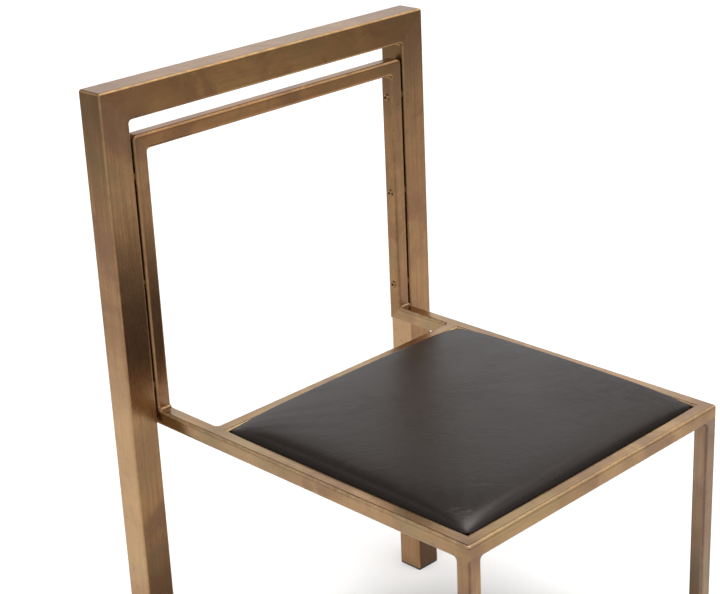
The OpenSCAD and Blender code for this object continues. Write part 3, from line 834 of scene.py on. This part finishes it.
def padHeight(s, x, y):
    # a rolled edge, a soft shoulder and a low dome, sunk towards the corners
    a, b = s["half"][0] + s["bulge"], s["half"][1] + s["bulge"]
    inX, inY, corner = a - abs(x), b - abs(y), s["corner"] + s["bulge"]
    overX, overY = (max(0.0, 1 - inward / s["rollWide"]) for inward in (inX, inY))
    rolled = 1 - overX ** 2 - overY ** 2 + s["crease"] * (overX * overY) ** 2
    rolled = max(0.0, rolled) ** s["rollPower"]
    if max(inX, inY) < corner:
        # the roll ends at the corner's rounding
        room = corner - math.hypot(corner - inX, corner - inY)
        share = max(0.0, min(1.0, room / max(1e-9, min(inX, inY))))
        rolled *= math.sqrt(max(0.0, 1 - (1 - share) ** s["cornerPower"]))
    wide = s["shoulderWide"]
    shoulder = s["shoulder"] * (1 - math.exp(-inX / wide)) * (1 - math.exp(-inY / wide))
    sink = s["sink"] * math.exp(-(inX + inY) / s["sinkWide"])
    p, q = min(1.0, abs(x) / a), min(1.0, abs(y) / b)
    return (s["roll"] - sink) * rolled + shoulder + s["dome"] * (1 - p * p) * (1 - q * q)


def padGrid(s, middle, offset, height):
    points = []
    for j in range(s["cells"] + 1):
        for i in range(s["cells"] + 1):
            x, y = padPlace(s, i, j, offset)
            points.append(Vector((middle.x + x, middle.y + y, height(x, y))))
    return points


def padRing(s, middle, offset, z):
    ring = []
    for i, j in rimCells(s["cells"]):
        x, y = padPlace(s, i, j, offset)
        ring.append(Vector((middle.x + x, middle.y + y, z)))
    return ring


def inflate(s, points):
    # the crown as cloth, held at its rim and blown up a little; all its moves are scaled to the cap
    n = s["cells"]
    mesh = bpy.data.meshes.new("padTrial")
    mesh.from_pydata([tuple(p) for p in points], [], gridFaces(n))
    trial = bpy.data.objects.new("padTrial", mesh)
    scene.collection.objects.link(trial)
    held = trial.vertex_groups.new(name="held")
    held.add(rimPoints(n), 1.0, "REPLACE")
    cloth = trial.modifiers.new("cloth", "CLOTH")
    rules = cloth.settings
    rules.vertex_group_mass = "held"
    rules.quality = s["quality"]
    rules.mass = s["mass"]
    for kind, stiffness in s["stiffness"].items():
        setattr(rules, kind + "_stiffness", stiffness)
    rules.use_pressure = True
    rules.uniform_pressure_force = s["pressure"]
    rules.effector_weights.gravity = 0
    cloth.collision_settings.use_collision = False
    cloth.collision_settings.use_self_collision = False
    cloth.point_cache.frame_start = 1
    cloth.point_cache.frame_end = s["frames"]
    for step in range(1, s["frames"] + 1):
        scene.frame_set(step)
    blown = trial.evaluated_get(bpy.context.evaluated_depsgraph_get()).to_mesh()
    moves = [v.co - p for p, v in zip(points, blown.vertices)]
    scene.frame_set(1)
    bpy.data.objects.remove(trial)
    largest = max(move.length for move in moves)
    print("pad cloth moved by at most %.2f mm, middle %.2f mm" % (
        largest / mm, moves[len(moves) // 2].length / mm))
    share = min(1.0, s["cap"] / largest)
    return [p + move * share for p, move in zip(points, moves)]


def crumple(s, middle, points):
    # soft dents and pulls towards the corners, on top of what the cloth did
    out = []
    a, b = (half + s["bulge"] for half in s["half"])
    for p in points:
        u, v = (p.x - middle.x) / a, (p.y - middle.y) / b
        inside = max(0.0, 1 - max(abs(u), abs(v)) ** s["dentPower"])
        deep = 0.0
        for scaleX, scaleY, layer, depth in s["dents"]:
            deep += noise.noise(Vector((p.x * scaleX, p.y * scaleY, layer))) * depth
        for cx in (-1, 1):
            for cy in (-1, 1):
                dx, dy = (1 - cx * u) * a, (1 - cy * v) * b
                far = math.hypot(dx, dy)
                waver = noise.noise(Vector((far * s["pullScale"], cx, cy))) * s["pullWaver"]
                ridge = math.cos((math.atan2(dy, dx) + waver - math.pi / 4) * s["pulls"])
                fade = math.exp(-(far / s["pullReach"]) ** 2) * min(1, far / s["pullStart"])
                deep += ridge * fade * s["pullDeep"]
        out.append(p + Vector((0, 0, deep * inside)))
    return out


def surfaceNormals(points, faces):
    sums = [Vector((0, 0, 0)) for _ in points]
    for face in faces:
        corners = [points[k] for k in face]
        cross = (corners[2] - corners[0]).cross(corners[3] - corners[1])
        for k in face:
            sums[k] += cross
    return [v.normalized() for v in sums]


def closeShell(outerTop, innerTop, rings, n):
    # outer crown, rings down and round, inner crown: one closed skin
    points = list(outerTop)
    faces = gridFaces(n)
    last = rimPoints(n)
    for ring in rings:
        start = len(points)
        points += ring
        current = list(range(start, start + len(ring)))
        faces += joinRings(last, current)
        last = current
    start = len(points)
    points += innerTop
    faces += gridFaces(n, start, True)
    faces += joinRings(last, [start + k for k in rimPoints(n)])
    return points, faces


def addPad(s):
    coverLow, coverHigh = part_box("seat_cover")
    middle, low = (coverLow + coverHigh) / 2, coverLow.z
    n, skin, rim, bulge, turnIn = (s[key] for key in ("cells", "leather", "swell", "bulge", "turnIn"))
    top = padGrid(s, middle, bulge, lambda x, y: rim + padHeight(s, x, y))
    top = inflate(s, top)
    top = crumple(s, middle, top)
    normals = surfaceNormals(top, gridFaces(n))

    def under(depth):
        # the crown again, further in by the depth
        limitX, limitY = (half + bulge - depth for half in s["half"])
        result = []
        for p, up in zip(top, normals):
            q = p - up * depth
            q.x = middle.x + max(-limitX, min(limitX, q.x - middle.x))
            q.y = middle.y + max(-limitY, min(limitY, q.y - middle.y))
            result.append(q)
        return result

    # each ring's offset and height: down into the gap and round the board's lower edge,
    outside = [
        (0.87 * bulge, rim - 1.6 * mm), (0.55 * bulge, rim - 3.2 * mm), (0.20 * bulge, rim - 5 * mm),
        (0, rim - 7 * mm), (0, rim - 12 * mm),
        (-0.25 * mm, low + 1.2 * mm), (-0.9 * mm, low + 0.3 * mm), (-2.2 * mm, low)]
    # in under the board to the cut edge and back on the flap's upper side,
    flap = low + s["flap"]
    turned = [
        (-8 * mm, low), (-16 * mm, low), (1 * mm - turnIn, low), (-turnIn, low + 0.5 * mm),
        (0.6 * mm - turnIn, flap), (-16 * mm, flap), (-6 * mm, flap), (-skin - 0.2 * mm, flap)]
    # and up again inside
    inside = [
        (-skin, flap + 0.8 * mm), (-skin, rim - 8 * mm),
        (0.55 * bulge - skin, rim - 3.2 * mm), (0.92 * bulge - skin, rim - 1.4 * mm)]
    rings = [padRing(s, middle, offset, z) for offset, z in outside + turned + inside]
    points, faces = closeShell(top, under(skin), rings, n)
    cover = addPiece("leatherCover", points, faces, charcoalLeather)
    sub = cover.modifiers.new("finer", "SUBSURF")
    sub.levels = sub.render_levels = 1
    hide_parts("seat_cover")

    gap, bevel = skin + s["foamGap"], s["foamBevel"]
    base = boardHigh.z + s["foamLift"]
    block = [(0.92 * bulge - gap, rim - 1.4 * mm), (-gap, base + bevel), (-gap - bevel, base)]
    rings = [padRing(s, middle, offset, z) for offset, z in block]
    bottom = padGrid(s, middle, -gap - 2 * bevel, lambda x, y: base)
    points, faces = closeShell(under(gap), bottom, rings, n)
    foam = addPiece("seatFoam", points, faces, foamFinish)
    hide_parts("seat_foam")


addPad(padSet)
print("seat pad built")


beadSet = {
    # the inside corner in front of an upright's foot, on the seat rail
    "from": 207.5 * mm,
    "to": 226.5 * mm,
    "deep": 237.5 * mm,
    "height": 435.0 * mm,
    "lean": (0, -1, 1),
    "proud": 0.9 * mm,        # how far the bead's middle lies off the corner
    "radius": 2.2 * mm,
    "ripple": 0.45 * mm,
    "pitch": 3.0 * mm,
    "endSize": 0.06,          # share of its size that a bead starts with at its ends
    "endRise": 8,             # how fast it gets full from there
    "along": 60,
    "around": 16,
    "seed": 5,
}


def addBeads(s):
    # a rippled weld bead in front of each upright
    random.seed(s["seed"])
    rings, around = s["along"], s["around"]
    points, faces = [], []
    for side in (-1, 1):
        first = Vector((side * s["from"], s["deep"], s["height"]))
        run = Vector((side * s["to"], s["deep"], s["height"])) - first
        out = Vector(s["lean"]).normalized()
        over = run.normalized().cross(out)
        start = len(points)
        shift = random.uniform(0, 1)
        for k in range(rings + 1):
            t = k / rings
            wave = abs(math.sin(math.pi * (t * run.length / s["pitch"] + shift)))
            full = min(1, s["endSize"] + min(t, 1 - t) * s["endRise"])
            size = (s["radius"] + s["ripple"] * wave) * math.sin(math.pi * full / 2)
            here = first + run * t + out * s["proud"]
            for c in range(around):
                angle = 2 * math.pi * c / around
                points.append(here + out * (size * math.cos(angle)) + over * (size * math.sin(angle)))
        for k in range(rings):
            for c in range(around):
                d = (c + 1) % around
                a, b = start + k * around, start + (k + 1) * around
                faces.append((a + c, a + d, b + d, b + c))
        faces.append(tuple(start + c for c in range(around)))
        faces.append(tuple(start + rings * around + c for c in range(around - 1, -1, -1)))
    addPiece("weldBeads", points, faces, bronzes["seatRailX"])


addBeads(beadSet)
print("weld beads built")


linerSet = {
    "cells": 44,
    "thick": 0.5 * mm,
    "lower": 0.05 * mm,      # how far its top lies under the solid one's
    "cut": 34 * mm,          # off each corner, along both edges
    "sag": 0.7 * mm,
    "sagPower": 4,           # how flat the sag stays in the middle
    "waveScale": 26,
    "waveLayer": 1.7,
    "stapleStep": 33 * mm,
    "stapleEnd": 8 * mm,     # from a corner cut to the first staple
    "stapleWide": 10 * mm,
    "stapleLeg": 1.2 * mm,
    "stapleInset": 6 * mm,
    "wire": 0.45 * mm,
    "jitter": 1.5 * mm,
    "lean": 9.0,             # degrees
    "seed": 7,
}


def linerHeight(x, y, s, low, high, top):
    # an uneven sag that ends at the stapled rim
    middle = (low + high) / 2
    p = (x - middle.x) / ((high.x - low.x) / 2)
    q = (y - middle.y) / ((high.y - low.y) / 2)
    inside = max(0.0, (1 - p ** s["sagPower"]) * (1 - q ** s["sagPower"]))
    spot = Vector((x * s["waveScale"], y * s["waveScale"], s["waveLayer"]))
    return top - s["sag"] * inside * (0.5 + 0.5 * noise.noise(spot))


def addLiner(s):
    low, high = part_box("dust_cover")
    middle = (low + high) / 2
    n = s["cells"]
    top = high.z - s["lower"]
    upper = []
    for j in range(n + 1):
        for i in range(n + 1):
            x = low.x + (high.x - low.x) * i / n
            y = low.y + (high.y - low.y) * j / n
            # the corners are cut off: points beyond the cut slide onto it
            roomX, roomY = min(x - low.x, high.x - x), min(y - low.y, high.y - y)
            short = s["cut"] - (roomX + roomY)
            if short > 0:
                x += math.copysign(short / 2, middle.x - x)
                y += math.copysign(short / 2, middle.y - y)
            upper.append(Vector((x, y, linerHeight(x, y, s, low, high, top))))
    count = len(upper)
    points = upper + [p - Vector((0, 0, s["thick"])) for p in upper]
    faces = gridFaces(n) + gridFaces(n, count, True)
    faces += joinRings(rimPoints(n), [k + count for k in rimPoints(n)])
    liner = addPiece("dustLiner", points, faces, linerFinish)
    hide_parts("dust_cover")
    return low, high, top


def addStaples(s, low, high, top):
    random.seed(s["seed"])
    wire, half, leg = s["wire"], s["stapleWide"] / 2, s["stapleLeg"]
    points, faces = [], []

    def staple(x, y, angle):
        # a flat crown with two legs that go up into the board
        z = linerHeight(x, y, s, low, high, top) - s["thick"] - wire
        path = [
            (-half, z + leg), (-half, z + wire), (-half + wire, z),
            (half - wire, z), (half, z + wire), (half, z + leg)]
        start = len(points)
        cos, sin = math.cos(angle), math.sin(angle)
        for k, (t, height) in enumerate(path):
            ahead = path[min(k + 1, len(path) - 1)]
            behind = path[max(k - 1, 0)]
            dt, dz = ahead[0] - behind[0], ahead[1] - behind[1]
            size = math.hypot(dt, dz)
            nt, nz = -dz / size, dt / size
            for side, rise in ((-1, -1), (1, -1), (1, 1), (-1, 1)):
                along = t + nt * rise * wire / 2
                over = side * wire
                points.append(Vector((
                    x + along * cos - over * sin, y + along * sin + over * cos,
                    height + nz * rise * wire / 2)))
        last = start + 4 * (len(path) - 1)
        for k in range(start, last, 4):
            for c in range(4):
                d = (c + 1) % 4
                faces.append((k + c, k + d, k + 4 + d, k + 4 + c))
        faces.append(tuple(start + c for c in (3, 2, 1, 0)))
        faces.append(tuple(last + c for c in (0, 1, 2, 3)))

    inset, ends = s["stapleInset"], s["cut"] + s["stapleEnd"]
    for axis in (0, 1):
        span = high[axis] - low[axis] - 2 * ends
        number = int(span / s["stapleStep"])
        for k in range(number + 1):
            along = low[axis] + ends + span * k / number
            for edge in (low[1 - axis] + inset, high[1 - axis] - inset):
                jitter = random.uniform(-s["jitter"], s["jitter"])
                lean = math.radians(random.uniform(-s["lean"], s["lean"]))
                if axis == 0:
                    staple(along + jitter, edge + jitter * 0.5, lean)
                else:
                    staple(edge + jitter * 0.5, along + jitter, lean + math.pi / 2)
    addPiece("linerStaples", points, faces, stapleWire, smooth=False)


addStaples(linerSet, *addLiner(linerSet))
print("dust cover and staples built")
